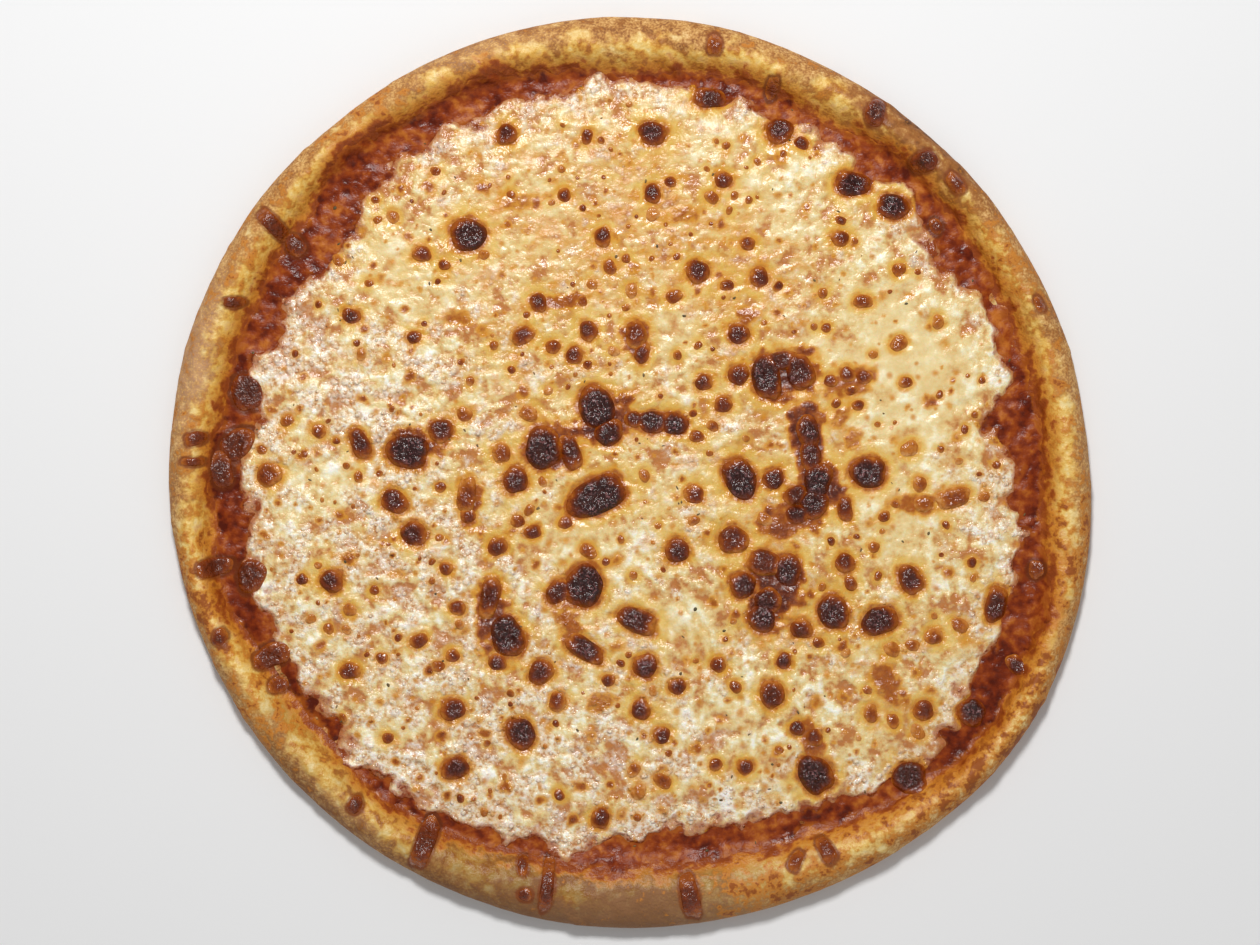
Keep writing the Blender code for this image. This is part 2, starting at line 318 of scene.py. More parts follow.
def radius_of(points):
    return np.hypot(points[:, 0], points[:, 1])


rim_edge = around("crust", radius_of)
sauce_edge = around("sauce", radius_of)
cheese_edge = around("cheese", radius_of)
rim_crest = around("crust", lambda points: points[:, 2])


def smooth_line(points, spacing):
    """Points evenly along a smooth curve through the given ones."""
    points = np.array(points, float)
    ends = np.vstack([points[:1], points, points[-1:]])
    t = np.linspace(0, 1, 20, endpoint=False)[:, None]
    runs = [
        0.5 * (2 * b + (c - a) * t + (2 * a - 5 * b + 4 * c - d) * t**2 + (3 * b - a - 3 * c + d) * t**3)
        for a, b, c, d in zip(ends, ends[1:], ends[2:], ends[3:])
    ]
    line = np.vstack([*runs, points[-1:]])
    length = np.append(0, np.cumsum(np.hypot(*np.diff(line, axis=0).T)))
    even = np.linspace(0, length[-1], int(length[-1] / spacing))
    return np.column_stack([np.interp(even, length, line[:, k]) for k in (0, 1)])


def sauce_within(x, y):
    """How far each place lies inside the uneven edge of the sauce, in millimetres."""
    angle = np.arctan2(y, x)
    edge = sauce_edge(angle) + reach_toward(np.degrees(angle), SAUCE_REACH)
    uneven = 2.0 * noise(x, y, 27, 19) + 2.2 * noise(x, y, 12, 20) + 1.4 * noise(x, y, 5, 21)
    return edge - np.hypot(x, y) + uneven + 0.3


def cheese_within(x, y):
    """How far each place lies inside the ragged edge of the cheese, in millimetres."""
    angle = np.arctan2(y, x)
    edge = cheese_edge(angle) + reach_toward(np.degrees(angle), CHEESE_REACH)
    ragged = 1.5 * noise(x, y, 34, 29) + 5.5 * noise(x, y, 15, 31) + 3.6 * noise(x, y, 6, 32)
    return edge - np.hypot(x, y) + ragged + 1.0


# ---------------------------------------------------------------- meshes


def ring_faces(rings, segments, first=0):
    """Quads between closed rings of points that follow each other, counted from point number first."""
    ring, segment = np.meshgrid(np.arange(rings - 1), np.arange(segments), indexing="ij")
    following = (segment + 1) % segments
    corners = [ring * segments + segment, (ring + 1) * segments + segment,
               (ring + 1) * segments + following, ring * segments + following]
    return np.stack(corners, axis=-1).reshape(-1, 4) + first


def fan_faces(centre, first, segments, flipped=False):
    """Triangles from one point to a closed ring."""
    segment = np.arange(segments)
    a, b = segment + first, (segment + 1) % segments + first
    if flipped:
        a, b = b, a
    return np.column_stack([np.full(segments, centre), a, b])


def turned_faces(rings, segments):
    """Faces between closed rings of points, with the first and the last ring closed by a middle point each.
    The two middle points follow the rings.
    """
    last = rings * segments
    return [ring_faces(rings, segments), fan_faces(last, 0, segments),
            fan_faces(last + 1, last - segments, segments, flipped=True)]


def make_piece(name, points, faces, values, look, replaced=None):
    """A smooth mesh piece from points in millimetres. Values has one number per point under each key, for the
    material to read.
    """
    mesh = bpy.data.meshes.new(name)
    mesh.from_pydata((points * MM).tolist(), [], [face for group in faces for face in group.tolist()])
    for key, value in values.items():
        attribute = mesh.attributes.new(key, "FLOAT", "POINT")
        attribute.data.foreach_set("value", np.asarray(value, np.float32).ravel())
    mesh.shade_smooth()
    mesh.materials.append(look)
    piece = bpy.data.objects.new(name, mesh)
    bpy.context.scene.collection.objects.link(piece)
    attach(piece, "root")
    if replaced:
        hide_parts(replaced)
    return piece


def tree_of(points, faces):
    return BVHTree.FromPolygons(points.tolist(), [face for group in faces for face in group.tolist()])


ABOVE = 60.0  # higher than anything of the pizza
NOTHING = -100.0  # lower than anything of it


def top_of(tree, x, y):
    """Height of a surface's top at each place, or NOTHING where it has none."""
    down = Vector((0, 0, -1))
    heights = np.full(x.size, NOTHING)
    for index, place in enumerate(zip(x.ravel().tolist(), y.ravel().tolist())):
        hit = tree.ray_cast(Vector((*place, ABOVE)), down)[0]
        if hit is not None:
            heights[index] = hit.z
    return heights.reshape(x.shape)


# ---------------------------------------------------------------- materials


def colour(red, green, blue):
    """A colour as seen on a screen, 0 to 255, as linear light."""
    def linear(value):
        value /= 255
        return value / 12.92 if value <= 0.04045 else ((value + 0.055) / 1.055) ** 2.4

    return (linear(red), linear(green), linear(blue), 1)


class Look:
    """A Principled material, with short names for the nodes that feed it."""

    def __init__(self, name):
        self.material = bpy.data.materials.new(name)
        self.material.use_nodes = True
        self.tree = self.material.node_tree
        self.shader = self.tree.nodes["Principled BSDF"]
        self.place = self.tree.nodes.new("ShaderNodeTexCoord").outputs["Object"]

    def feed(self, target, value):
        """Links a socket to another one, or sets it to a number or a colour."""
        if isinstance(value, bpy.types.NodeSocket):
            self.tree.links.new(value, target)
        else:
            target.default_value = value

    def set(self, node, socket, value):
        self.feed(node.inputs[socket], value)

    def surface(self, **values):
        for name, value in values.items():
            self.set(self.shader, name.replace("_", " ").title().replace("Ior", "IOR"), value)

    def value(self, name):
        node = self.tree.nodes.new("ShaderNodeAttribute")
        node.attribute_name = name
        return node.outputs["Fac"]

    def noise(self, size, detail, stretch=None):
        """Unevenness of this size in mm, from about 0.25 to 0.75. Stretch is a turn in degrees and a scale
        along it.
        """
        node = self.tree.nodes.new("ShaderNodeTexNoise")
        node.inputs["Scale"].default_value = 1 / (size * MM)
        node.inputs["Detail"].default_value = detail
        place = self.place
        if stretch:
            mapping = self.tree.nodes.new("ShaderNodeMapping")
            mapping.inputs["Rotation"].default_value[2] = math.radians(stretch[0])
            mapping.inputs["Scale"].default_value[0] = stretch[1]
            self.set(mapping, "Vector", place)
            place = mapping.outputs["Vector"]
        self.set(node, "Vector", place)
        return node.outputs["Fac"]

    def cells(self, size, warp):
        """Scattered cells of this size in mm, their outlines bent by warp in mm. Gives the distance to each
        one's middle, in cells, and two random numbers.
        """
        shift = self.tree.nodes.new("ShaderNodeTexNoise")
        shift.inputs["Scale"].default_value = 1 / (size * MM)
        self.set(shift, "Vector", self.place)
        moved = self.tree.nodes.new("ShaderNodeVectorMath")
        moved.operation = "MULTIPLY_ADD"
        self.set(moved, 0, shift.outputs["Color"])
        moved.inputs[1].default_value = [warp * MM] * 3
        self.set(moved, 2, self.place)
        node = self.tree.nodes.new("ShaderNodeTexVoronoi")
        node.voronoi_dimensions = "2D"
        node.inputs["Scale"].default_value = 1 / (size * MM)
        self.set(node, "Vector", moved.outputs["Vector"])
        split = self.tree.nodes.new("ShaderNodeSeparateColor")
        self.set(split, "Color", node.outputs["Color"])
        return node.outputs["Distance"], split.outputs["Red"], split.outputs["Green"]

    def math(self, operation, a, b=0.0, c=0.0):
        node = self.tree.nodes.new("ShaderNodeMath")
        node.operation = operation
        for socket, value in enumerate((a, b, c)):
            self.set(node, socket, value)
        return node.outputs["Value"]

    def add(self, *values):
        return reduce(lambda a, b: self.math("ADD", a, b), values)

    def times(self, *values):
        return reduce(lambda a, b: self.math("MULTIPLY", a, b), values)

    def about(self, noise, amount):
        """Noise as an offset either side of 0."""
        return self.math("MULTIPLY_ADD", noise, 4 * amount, -2 * amount)

    def step(self, value, low, high, bottom=0.0, top=1.0):
        """Goes smoothly from bottom to top as the value goes from low to high."""
        node = self.tree.nodes.new("ShaderNodeMapRange")
        node.interpolation_type = "SMOOTHSTEP"
        sockets = ("Value", "From Min", "From Max", "To Min", "To Max")
        for socket, given in zip(sockets, (value, low, high, bottom, top)):
            self.set(node, socket, given)
        return node.outputs["Result"]

    def mix(self, share, a, b):
        node = self.tree.nodes.new("ShaderNodeMix")
        node.data_type = "RGBA"
        # Several sockets share a name, so they are told apart by their identifiers
        sockets = {socket.identifier: socket for socket in (*node.inputs, *node.outputs)}
        self.feed(sockets["Factor_Float"], share)
        self.feed(sockets["A_Color"], a)
        self.feed(sockets["B_Color"], b)
        return sockets["Result_Color"]

    def tinted(self, shade, tint, value, low, high, most=1.0):
        """The shade, with more and more of the tint as the value goes from low to high, up to this share."""
        return self.mix(self.step(value, low, high, 0.0, most), shade, tint)

    def ramp(self, value, stops):
        node = self.tree.nodes.new("ShaderNodeValToRGB")
        elements = node.color_ramp.elements
        while len(elements) < len(stops):
            elements.new(1)
        for element, (position, shade) in zip(elements, stops):
            element.position = position
            element.color = shade
        self.set(node, "Fac", value)
        return node.outputs["Color"]

    def bump(self, height, depth, strength):
        """Relief of this depth in mm."""
        node = self.tree.nodes.new("ShaderNodeBump")
        node.inputs["Distance"].default_value = depth * MM
        node.inputs["Strength"].default_value = strength
        self.set(node, "Height", height)
        self.set(self.shader, "Normal", node.outputs["Normal"])


def crust_look():
    look = Look("baked_crust_look")
    outside, across, bake, flour, dull, stain, smear = (
        look.value(key) for key in ("outside", "across", "bake", "flour", "dull", "stain", "smear"))
    patches, mottle, freckles, dust = (look.noise(size, 4) for size in (16, 6, 2.4, 0.9))
    blotch = look.add(look.math("MULTIPLY_ADD", mottle, 0.8, -0.15), look.times(freckles, 0.5))
    gold = look.ramp(blotch, [
        (0.32, colour(240, 214, 148)), (0.42, colour(232, 192, 106)), (0.5, colour(220, 168, 74)),
        (0.58, colour(198, 132, 48)), (0.68, colour(150, 84, 30))])
    tan = look.ramp(look.add(look.times(dust, 0.5), look.times(blotch, 0.5)), [
        (0.34, colour(230, 188, 128)), (0.43, colour(208, 158, 92)), (0.51, colour(182, 126, 66)),
        (0.61, colour(132, 80, 36))])
    # Oil keeps the dough golden for some way out from the sauce, and beyond that it is dry and browner
    dry = look.add(across, look.about(patches, 0.3), look.about(mottle, 0.2), look.times(flour, 0.12))
    dry = look.step(dry, 0.4, 0.75)
    shade = look.mix(dry, gold, tan)
    grainy = look.step(look.add(flour, look.about(dust, 0.5)), 0.2, 1.1, 0.0, 0.8)
    shade = look.mix(look.times(grainy, dry), shade, colour(196, 152, 116))
    shoulder = look.step(look.add(across, look.about(patches, 0.2)), 0.65, 1.0)
    browned = look.add(look.times(bake, 0.75), look.times(shoulder, 0.18), look.about(mottle, 0.35),
                       look.about(freckles, 0.2))
    shade = look.tinted(shade, colour(154, 94, 38), browned, 0.3, 0.8, 0.9)
    shade = look.tinted(shade, colour(78, 42, 18), browned, 0.75, 1.2)
    # Painted shade: darker on the near side of the rim, away from the key lamp
    painted_shade = look.add(dull, look.about(patches, 0.2))
    shade = look.tinted(shade, colour(116, 70, 28), painted_shade, 0.2, 1.0, 0.75)
    smeared = look.add(smear, look.about(mottle, 0.65), look.about(freckles, 0.45), look.about(dust, 0.15))
    shade = look.tinted(shade, colour(204, 130, 44), smeared, 0.45, 0.9, 0.9)
    shade = look.tinted(shade, colour(148, 74, 20), smeared, 0.85, 1.2, 0.9)
    # Browner close to the sauce, and where a drip has run
    near = look.add(outside, look.about(mottle, 3.6), look.about(freckles, 1.8))
    shade = look.tinted(shade, colour(202, 124, 34), near, 6, 1.5, 0.85)
    shade = look.tinted(shade, colour(160, 78, 18), near, 3, 0.5)
    shade = look.tinted(shade, colour(140, 62, 14), near, 1.0, -1.0)
    stained = look.add(stain, look.about(mottle, 0.35))
    shade = look.tinted(shade, colour(128, 62, 18), stained, 0.25, 1.0, 0.9)
    underside = look.tinted(colour(208, 160, 98), colour(152, 98, 50), blotch, 0.46, 0.6)
    shade = look.tinted(shade, underside, across, 1.02, 1.15)
    look.surface(base_color=shade, roughness=look.step(dry, 0.0, 1.0, 0.36, 0.7), specular_ior_level=0.35)
    look.bump(look.add(look.times(dust, 0.5), freckles), 0.7, 0.8)
    return look.material


def sauce_look():
    look = Look("tomato_sauce_look")
    stain, shore = look.value("stain"), look.value("shore")
    patches, pulp, fine = look.noise(10, 3), look.noise(3.2, 3), look.noise(1.2, 2)
    shade = look.ramp(look.add(look.times(patches, 0.6), look.times(pulp, 0.4)), [
        (0.38, colour(84, 24, 6)), (0.46, colour(116, 40, 8)), (0.54, colour(146, 62, 12)),
        (0.64, colour(186, 106, 32))])
    browned = look.add(shore, look.about(pulp, 0.35))
    shade = look.tinted(shade, colour(154, 76, 16), browned, 0.2, 0.8, 0.9)
    shade = look.tinted(shade, colour(192, 112, 30), browned, 0.75, 1.15, 0.85)
    stained = look.add(stain, look.about(pulp, 0.35))
    shade = look.tinted(shade, colour(100, 42, 10), stained, 0.4, 1.0, 0.9)
    gloss = look.step(patches, 0.35, 0.65, 0.26, 0.46)
    look.surface(base_color=shade, roughness=gloss, specular_ior_level=0.22)
    look.bump(look.add(look.times(fine, 0.3), pulp), 0.9, 0.6)
    return look.material


def bubbles(look, size, warp, share):
    """Round bubbles in that share of the cells: how high each place stands in one, and how close it is to the
    bubble's ring.
    """
    distance, chance, width = look.cells(size, warp)
    reach = look.math("MULTIPLY_ADD", width, 0.2, 0.2)
    here = look.math("LESS_THAN", chance, share)
    dome = look.times(look.step(distance, reach, look.times(reach, 0.3)), here)
    away = look.math("ABSOLUTE", look.math("SUBTRACT", distance, reach))
    return dome, look.times(look.step(away, 0.13, 0.02), here)


def cheese_look():
    look = Look("melted_cheese_look")
    cover, toast, oil, rind, grainy, warm, calm = (
        look.value(key) for key in ("cover", "toast", "oil", "rind", "grainy", "warm", "calm"))
    patches, blotch, mottle = look.noise(24, 3), look.noise(10, 4), look.noise(4.8, 4)
    streaks, fine, grain = look.noise(3.4, 3, (-8, 0.4)), look.noise(2.1, 3), look.noise(1.1, 2)
    # Pale where a blob of cheese lies thick, and tan in the hollows between; the whitest stops of the ramp
    # are partly painted glints
    lively = look.math("MULTIPLY_ADD", calm, -0.75, 1.0)
    thick = look.math("MULTIPLY_ADD", cover, 0.4, look.math("MULTIPLY_ADD", calm, 0.14, 0.13))
    uneven = look.add(look.about(mottle, 0.3), look.about(fine, 0.22), look.about(blotch, 0.6))
    thick = look.add(thick, look.times(uneven, lively))
    shade = look.ramp(thick, [
        (0.0, colour(190, 122, 64)), (0.17, colour(214, 166, 102)), (0.33, colour(228, 197, 133)),
        (0.5, colour(236, 214, 158)), (0.68, colour(248, 240, 206)), (0.9, colour(255, 252, 242))])
    rich = look.add(look.times(warm, 0.5), oil, look.about(patches, 0.35), look.about(blotch, 0.3))
    shade = look.tinted(shade, colour(226, 182, 80), rich, 0.1, 0.8, 0.75)
    # Browned fat lies in smudges, drawn out along the shreds
    tanned = look.add(warm, look.about(streaks, 0.42), look.about(mottle, 0.35), look.about(blotch, 0.55),
                      look.times(calm, -0.35))
    shade = look.tinted(shade, colour(214, 152, 62), tanned, 0.35, 0.9, 0.8)
    shade = look.tinted(shade, colour(174, 96, 32), tanned, 0.85, 1.35, 0.85)
    # Where the cheese is thin it froths, and sauce and fat colour the froth; the whitest specks of the froth
    # are painted glints
    froth = look.step(look.add(grainy, look.about(mottle, 0.35)), 0.25, 0.85)
    froth_specks_and_glints = look.ramp(look.add(look.times(grain, 0.3), look.times(fine, 0.7)), [
        (0.37, colour(186, 126, 82)), (0.44, colour(224, 186, 146)), (0.51, colour(243, 226, 199)),
        (0.59, colour(255, 252, 246))])
    shade = look.mix(look.times(froth, 0.7), shade, froth_specks_and_glints)
    large, large_ring = bubbles(look, 4.6, 1.8, 0.4)
    small, small_ring = bubbles(look, 2.6, 1.2, 0.5)
    foamy = look.math("MAXIMUM", look.times(froth, 0.9), look.step(tanned, 0.6, 1.2, 0.15, 0.6))
    domes = look.math("MAXIMUM", large, small)
    rings = look.math("MAXIMUM", large_ring, small_ring)
    shade = look.mix(look.times(domes, foamy, 0.6), shade, colour(244, 220, 192))
    shade = look.mix(look.times(rings, foamy, 0.42), shade, colour(170, 96, 56))
    # Drops of orange fat
    distance, chance, width = look.cells(8.5, 3)
    drop = look.step(distance, look.math("MULTIPLY_ADD", width, 0.18, 0.12), 0.02, 0.0, 0.85)
    drop = look.times(drop, look.math("LESS_THAN", chance, 0.5))
    shade = look.mix(drop, shade, colour(204, 130, 30))
    edge = look.add(rind, look.about(fine, 0.25), look.about(mottle, 0.3))
    shade = look.tinted(shade, colour(176, 104, 62), edge, 0.4, 0.9, 0.8)
    shade = look.tinted(shade, colour(142, 62, 16), edge, 0.85, 1.1)
    heat = look.add(toast, look.about(fine, 0.12), look.about(mottle, 0.12))
    shade = look.tinted(shade, colour(216, 148, 44), heat, 0.12, 0.5, 0.85)
    shade = look.tinted(shade, colour(168, 90, 22), heat, 0.42, 0.78)
    shade = look.tinted(shade, colour(124, 54, 14), heat, 0.75, 1.05)
    shade = look.tinted(shade, colour(86, 30, 12), heat, 1.0, 1.3)
    # Painted highlights on the crests of the darkest browned skin
    crest = look.step(look.add(look.times(grain, 0.6), look.times(fine, 0.4)), 0.54, 0.62)
    shade = look.mix(look.times(crest, look.step(heat, 0.85, 1.2, 0.0, 0.4)), shade, colour(190, 120, 84))
    gloss = look.math("MULTIPLY_ADD", froth, -0.08, look.step(blotch, 0.35, 0.65, 0.2, 0.36))
    look.surface(base_color=shade, roughness=gloss, specular_ior_level=0.5, subsurface_weight=0.1,
                 subsurface_scale=0.002)
    foam = look.times(look.add(look.times(large, 0.8), look.times(small, 0.5)), foamy)
    relief = look.add(look.times(fine, 0.7), look.times(mottle, 0.9), foam, look.times(grain, froth, 0.4))
    rough = look.times(lively, look.math("MULTIPLY_ADD", look.step(warm, 0.2, 1.0), -0.45, 1.0))
    look.bump(look.times(relief, rough), 0.95, 0.85)
    return look.material


def blister_look(name, dull, glint_colour):
    """Browned skin. Dull is added to its roughness, and the last argument is the colour of a painted
    highlight on the crests of its wrinkles.
    """
    look = Look(name)
    char = look.value("char")
    mottle, fine, crinkle = look.noise(3.4, 3), look.noise(1.6, 2), look.noise(1.0, 2)
    heat = look.add(char, look.about(mottle, 0.1), look.about(fine, 0.08))
    shade = look.ramp(heat, [
        (0.0, colour(214, 154, 90)), (0.12, colour(192, 118, 42)), (0.3, colour(156, 78, 16)),
        (0.5, colour(120, 48, 8)), (0.74, colour(80, 28, 8)), (1.0, colour(46, 15, 12))])
    # The skin of the darkest parts is drawn into wrinkles, with painted highlights on their crests
    crest = look.times(look.step(look.add(look.times(crinkle, 0.6), look.times(mottle, 0.4)), 0.53, 0.62),
                       look.step(heat, 0.5, 0.95, 0.0, 0.55))
    shade = look.mix(crest, shade, glint_colour)
    gloss = look.step(fine, 0.35, 0.65, 0.1 + dull, 0.22 + dull)
    look.surface(base_color=shade, roughness=gloss, specular_ior_level=0.5)
    look.bump(look.add(fine, look.times(crinkle, look.step(heat, 0.3, 0.9, 0.2, 0.7))), 0.9, 0.8)
    return look.material


def herb_look():
    look = Look("dried_herb_look")
    shade = look.tinted(colour(88, 74, 44), colour(124, 96, 56), look.noise(3, 2), 0.4, 0.6)
    look.surface(base_color=shade, roughness=look.step(look.noise(0.6, 2), 0.35, 0.65, 0.5, 0.8))
    look.bump(look.noise(0.5, 2), 0.1, 0.6)
    return look.material


# ---------------------------------------------------------------- spots, wherever they lie


def waver(spot, angle):
    """The uneven outline of a spot, as a share of its even one."""
    start = 1.7 * spot.x + 0.9 * spot.y
    # The longer a spot is, the squarer its ends
    power = 2 + min(max(spot.length / spot.width - 1, 0), 2)
    square = (np.abs(np.cos(angle)) ** power + np.abs(np.sin(angle)) ** power) ** (-1 / power)
    return square * (1 + 0.04 * np.cos(2 * angle + start) + 0.045 * np.cos(3 * angle + 2.3 * start)
                     + 0.025 * np.cos(5 * angle + 3.1 * start))


def from_spot(spot, x, y):
    """How far out each place lies: as a share of the spot's outline, and as millimetres beyond it."""
    cosine, sine = math.cos(math.radians(spot.turn)), math.sin(math.radians(spot.turn))
    along = (x - spot.x) * cosine + (y - spot.y) * sine
    side = (y - spot.y) * cosine - (x - spot.x) * sine
    share = np.hypot(along / spot.length, side / spot.width) * 2
    share /= waver(spot, np.arctan2(side / spot.width, along / spot.length))
    beyond = np.hypot(along, side) * (1 - 1 / np.maximum(share, 0.05))
    return share, beyond


def window(spot, x, y, reach):
    """The rows and columns of a grid that lie within reach of a spot."""
    half = spot.length / 2 + reach
    columns = np.searchsorted(x[0], [spot.x - half, spot.x + half])
    rows = np.searchsorted(y[:, 0], [spot.y - half, spot.y + half])
    return slice(*rows), slice(*columns)


def each_window(spots, x, y, reach):
    """Each spot, with the part of a grid that lies within reach of it and the places in that part."""
    for spot in spots:
        part = window(spot, x, y, reach)
        yield spot, part, x[part], y[part]


def size_of(spot):
    return math.sqrt(spot.length * spot.width)


def halo_of(spot):
    """How far the browning round a spot reaches."""
    return 0.9 + 0.075 * spot.width


def stain_of_drips(x, y, width):
    """How strongly the burnt drips have stained what they lie on, from 0 to 1, fading out over this width."""
    stain = np.zeros_like(x)
    for spot in DRIPS:
        stain = np.maximum(stain, hump(np.maximum(from_spot(spot, x, y)[1], 0), width))
    return stain


def dome_grid(spot):
    """Points of a spot from its middle outward: x, y and the share of the way out."""
    segments = int(np.clip(size_of(spot) * 4.2, 9, 64))
    rings = int(np.clip(size_of(spot) * 1.25, 3, 16))
    turns = np.arange(segments) / segments * math.tau
    share, angle = np.meshgrid(np.linspace(1 / rings, 1, rings), turns, indexing="ij")
    reach = share * waver(spot, angle) / 2
    along, side = spot.length * reach * np.cos(angle), spot.width * reach * np.sin(angle)
    cosine, sine = math.cos(math.radians(spot.turn)), math.sin(math.radians(spot.turn))
    x = spot.x + along * cosine - side * sine
    y = spot.y + along * sine + side * cosine
    return x, y, share


def make_domes(name, spots, ground, rise, pale, look):
    """One piece of blistered domes. Ground(x, y) gives the height of what they grow from, rise(size) how high
    they stand, and pale is how much lighter their edges are than their middles.
    """
    points, faces, char = [], [], []
    count = 0
    for spot in spots:
        x, y, share = dome_grid(spot)
        size = size_of(spot)
        # A large blister has sunk in, and its skin lies in wrinkles
        sunk = step(6, 14, size)
        outer = np.sin(np.clip((1 - share) / (0.75 - 0.35 * sunk), 0, 1) * math.pi / 2)
        crinkle = (ridges(x, y, 3.2, 3) - 0.6) * 0.6 + noise(x, y, 1.6, 4) * 0.22
        height = rise(size) * outer * (1 - 0.35 * sunk * (1 - share) ** 2) - 0.4 * step(0.86, 1, share)
        height += crinkle * (0.25 + 0.75 * sunk) * step(1, 0.7, share)
        heights = ground(x, y) + height
        middle = (spot.x, spot.y, heights[0].mean() + 0.02)
        points += [np.array([middle]), np.column_stack([x.ravel(), y.ravel(), heights.ravel()])]
        rings, segments = x.shape
        faces += [fan_faces(count, count + 1, segments), ring_faces(rings, segments, count + 1)]
        # The darkest place lies a little off the middle
        darkest_x = spot.x + 0.16 * spot.width * math.cos(spot.x)
        darkest_y = spot.y + 0.16 * spot.width * math.sin(spot.x)
        off = np.hypot(x - darkest_x, y - darkest_y) / size * 2
        inward = 1 - 0.5 * (share + off) + 0.14 * noise(x, y, 3.6, 8) + 0.04 * noise(x, y, 1.6, 9)
        ring = min(0.75, RING_WIDTH / (size / 2))
        dark = spot.dark * (1 - pale * step(ring, -0.1, inward)) ** (1.5 - 0.5 * spot.dark)
        char += [np.array([dark[0].mean()]), dark.ravel()]
        count += 1 + x.size
    return make_piece(name, np.vstack(points), faces, {"char": np.concatenate(char)}, look)


# ---------------------------------------------------------------- crust


def make_crust():
    angle = np.arange(CRUST_SEGMENTS) / CRUST_SEGMENTS * math.tau
    inner, outer, crest = sauce_edge(angle), rim_edge(angle), rim_crest(angle)
    section = smooth_line(RIM_SECTION, CRUST_STEP)
    out, height = section[:, :1], section[:, 1:]
    radius = inner + np.where(out > 0, out * (outer - inner) / RIM_WIDTH, out)
    raised = np.clip((height - FLOOR_HEIGHT) / (RIM_CREST - FLOOR_HEIGHT), 0, None)
    heights = height + raised * (crest - RIM_CREST)
    # The relief stands square to the surface
    run, climb = np.gradient(radius, axis=0), np.gradient(heights, axis=0)
    long = np.hypot(run, climb)
    x, y = radius * np.cos(angle), radius * np.sin(angle)
    # Slanted with the height, so that the pattern also changes down the steep side
    u, v = x + 0.8 * heights, y - 0.6 * heights
    blown = np.clip(noise(u, v, 8, 12) - 0.25, 0, None)
    relief = 0.55 * noise(u, v, 14, 10) + 0.32 * noise(u, v, 5.5, 11) + 1.2 * blown
    relief -= 0.6 * np.clip(noise(u, v, 3.4, 13) - 0.35, 0, None)
    relief += 0.12 * noise(u, v, 2.4, 14)
    standing = step(0.0, 0.35, raised) * step(0.3, 2.5, heights)
    radius = radius - relief * standing * climb / long
    heights = heights + relief * standing * run / long
    heights = np.maximum(heights, 0)

    across = np.repeat(np.clip(out / RIM_WIDTH, -1, 1), CRUST_SEGMENTS, axis=1)
    past_edge = np.arange(len(out)) > int(np.argmax(out))
    across[past_edge] = 2 - np.minimum(across[past_edge], 1)
    flat = np.ones_like(inner)
    floor = [share * inner for share in INNER_RINGS]
    under = [share * inner for share in (1.0, *INNER_RINGS[::-1])]
    radius = np.vstack([floor, radius, under])
    heights = np.vstack([[CRUST_FLOOR * flat] * len(floor), heights, [0 * flat] * len(under)])
    across = np.vstack([[0 * flat] * len(floor), across, [2 * flat] * len(under)])
    x, y = radius * np.cos(angle), radius * np.sin(angle)
    points = np.column_stack([x.ravel(), y.ravel(), heights.ravel()])
    points = np.vstack([points, [[0, 0, CRUST_FLOOR], [0, 0, 0]]])
    faces = turned_faces(len(radius), CRUST_SEGMENTS)

    degrees = np.degrees(angle) + 0 * radius
    stain = stain_of_drips(x, y, 1.1) * (heights > 3)
    outside = np.where(across < 1, -sauce_within(x, y), RIM_WIDTH)
    # The dull value carries the painted shade on the near side of the rim
    values = {"across": across, "bake": toward(degrees, BAKED), "flour": toward(degrees, FLOURY),
              "dull": toward(degrees, SHADED_RIM_ZONES), "stain": stain, "outside": outside,
              "smear": toward(degrees, SMEARED)}
    # The two middle points take the values of the rings next to them
    values = {key: np.append(value, [value[0, 0], value[-1, -1]]) for key, value in values.items()}
    make_piece("crust_surface", points, faces, values, crust_look(), "crust")
    return tree_of(points, faces)


# ---------------------------------------------------------------- sauce


def make_sauce(crust_tree):
    angle = np.arange(SAUCE_SEGMENTS) / SAUCE_SEGMENTS * math.tau
    edge = sauce_edge(angle)
    rings = int((SAUCE_INSIDE + SAUCE_OUTSIDE) / SAUCE_STEP)
    radius = edge + np.linspace(-SAUCE_INSIDE, SAUCE_OUTSIDE, rings)[:, None]
    x, y = radius * np.cos(angle), radius * np.sin(angle)
    below = np.maximum(top_of(crust_tree, x, y), FLOOR_HEIGHT)
    within = sauce_within(x, y)
    depth = SAUCE_DEPTH * step(-0.5, 6, within) - 0.9 * step(0.5, -1.5, within)
    pulp = 0.45 * noise(x, y, 9, 22) + 0.35 * noise(x, y, 4, 23) + 0.12 * noise(x, y, 2.2, 24)
    heights = below + depth + pulp * step(-1.5, 3, within)

    # The underside follows the top, so that it stays inside the crust
    under = slice(None, None, -SAUCE_UNDER_STEP)
    lower = np.maximum(heights[under] - SAUCE_UNDER, SAUCE_FLOOR)
    inner = [share * radius[0] for share in INNER_RINGS[:2]]
    flat = np.ones_like(edge)
    radius = np.vstack([inner, radius, radius[under]])
    heights = np.vstack([[(FLOOR_HEIGHT + SAUCE_DEPTH) * flat] * 2, heights, lower])
    x, y = radius * np.cos(angle), radius * np.sin(angle)
    points = np.column_stack([x.ravel(), y.ravel(), heights.ravel()])
    points = np.vstack([points, [[0, 0, FLOOR_HEIGHT + SAUCE_DEPTH], [0, 0, SAUCE_FLOOR]]])
    faces = turned_faces(len(radius), SAUCE_SEGMENTS)
    stain = stain_of_drips(x, y, 1.8)
    shore = np.maximum(step(4, -1, sauce_within(x, y)), 0.55 * hump(cheese_within(x, y) + 1, 2.0))
    values = {"stain": stain, "shore": shore}
    values = {key: np.append(value.ravel(), [0, 0]) for key, value in values.items()}
    make_piece("sauce_surface", points, faces, values, sauce_look(), "sauce")
    return tree_of(points, faces)


